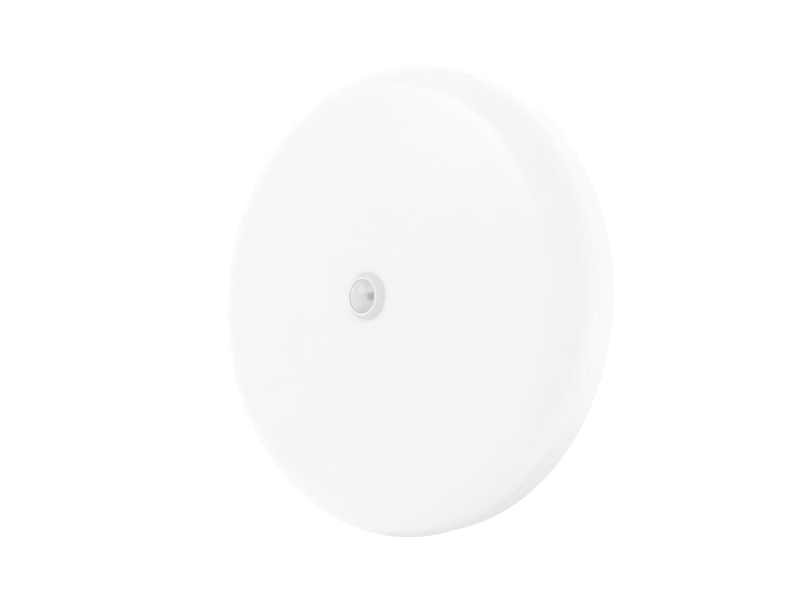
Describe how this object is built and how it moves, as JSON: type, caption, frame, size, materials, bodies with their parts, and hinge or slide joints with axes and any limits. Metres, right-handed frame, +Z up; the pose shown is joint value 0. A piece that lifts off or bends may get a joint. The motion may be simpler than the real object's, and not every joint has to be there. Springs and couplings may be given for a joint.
{
  "type": "motion sensor wall light",
  "caption": "Round white surface-mounted wall or ceiling light with an opal push-fit diffuser and a passive-infrared motion sensor in its centre.",
  "frame": {"origin": "centre of the mounting bar's rear face, which lies on the wall", "axes": "+Y into the wall, so the lamp faces -Y; +Z up; +X to the right as seen from the front"},
  "size_m": [0.23, 0.0421, 0.23],
  "materials": {
    "moulded_white": "satin moulded white",
    "opal": "opal, satin, lets light through",
    "lens_white": "translucent, finely faceted",
    "steel": "zinc plated",
    "spring_steel": "bright spring steel",
    "foam": "closed-cell foam",
    "black_rubber": "matt",
    "mask_white": "white solder mask",
    "phosphor": "yellow phosphor in a white package",
    "board_green": "green solder mask",
    "black_plastic": "moulded black",
    "socket_white": "moulded off-white",
    "button_orange": "moulded orange",
    "knob_blue": "moulded blue",
    "film_yellow": "dipped yellow",
    "resistor_green": "lacquered",
    "window_dark": "dark infrared filter",
    "wire_red": "insulated wire",
    "wire_black": "insulated wire",
    "wire_brown": "insulated wire",
    "wire_blue": "insulated wire",
    "wire_white": "insulated wire"
  },
  "bodies": {
    "base": {"mounting_bar": "steel", "wall_gasket": "foam", "base_pan": "moulded_white", "cable_grommet": "black_rubber", "bar_screw_left": "steel", "bar_screw_right": "steel", "led_board": "mask_white", "led_row_inner": "phosphor", "led_row_outer": "phosphor", "led_screw_1": "steel", "led_screw_2": "steel", "led_screw_3": "steel", "led_screw_4": "steel", "driver_board": "board_green", "transformer": "black_plastic", "bulk_capacitor": "black_plastic", "output_capacitor": "black_plastic", "film_capacitor": "film_yellow", "bridge_rectifier": "black_plastic", "fuse_resistor": "resistor_green", "driver_chip": "black_plastic", "sensor_socket": "socket_white", "sensor_plug": "socket_white", "board_screw_left": "steel", "board_screw_right": "steel", "terminal_block": "socket_white", "driver_cover": "moulded_white", "cover_screw_left": "steel", "cover_screw_right": "steel", "sensor_board": "mask_white", "pyro_can": "steel", "pyro_window": "window_dark", "light_cell": "film_yellow", "sensor_chip": "black_plastic", "time_trimmer": "socket_white", "lux_trimmer": "socket_white", "sensor_screw_top": "steel", "sensor_screw_bottom": "steel", "retaining_clip_1": "spring_steel", "clip_screw_1": "steel", "retaining_clip_2": "spring_steel", "clip_screw_2": "steel", "retaining_clip_3": "spring_steel", "clip_screw_3": "steel", "led_lead_red": "wire_red", "led_lead_black": "wire_black", "live_link": "wire_brown", "neutral_link": "wire_blue", "sensor_cable": "wire_white"},
    "diffuser": {"diffuser": "opal", "lens_collar": "moulded_white", "fresnel_lens": "lens_white", "lens_clamp_ring": "moulded_white"},
    "time_knob": {"time_knob": "knob_blue"},
    "lux_knob": {"lux_knob": "knob_blue"},
    "live_release": {"live_release_button": "button_orange"},
    "neutral_release": {"neutral_release_button": "button_orange"}
  },
  "joints": [
    {"name": "diffuser_pull", "type": "slide", "parent": "base", "child": "diffuser", "axis": [0, -1, 0], "range_m": [0, 0.06]},
    {"name": "time_trim", "type": "hinge", "parent": "base", "child": "time_knob", "pos_m": [-0.012, -0.0298, 0], "axis": [0, -1, 0], "range_deg": [-135, 135]},
    {"name": "lux_trim", "type": "hinge", "parent": "base", "child": "lux_knob", "pos_m": [0.012, -0.0298, 0], "axis": [0, -1, 0], "range_deg": [-135, 135]},
    {"name": "live_press", "type": "slide", "parent": "base", "child": "live_release", "axis": [0, 1, 0], "range_m": [0, 0.0015], "stiffness_N_per_m": 800},
    {"name": "neutral_press", "type": "slide", "parent": "base", "child": "neutral_release", "axis": [0, 1, 0], "range_m": [0, 0.0015], "stiffness_N_per_m": 800}
  ]
}
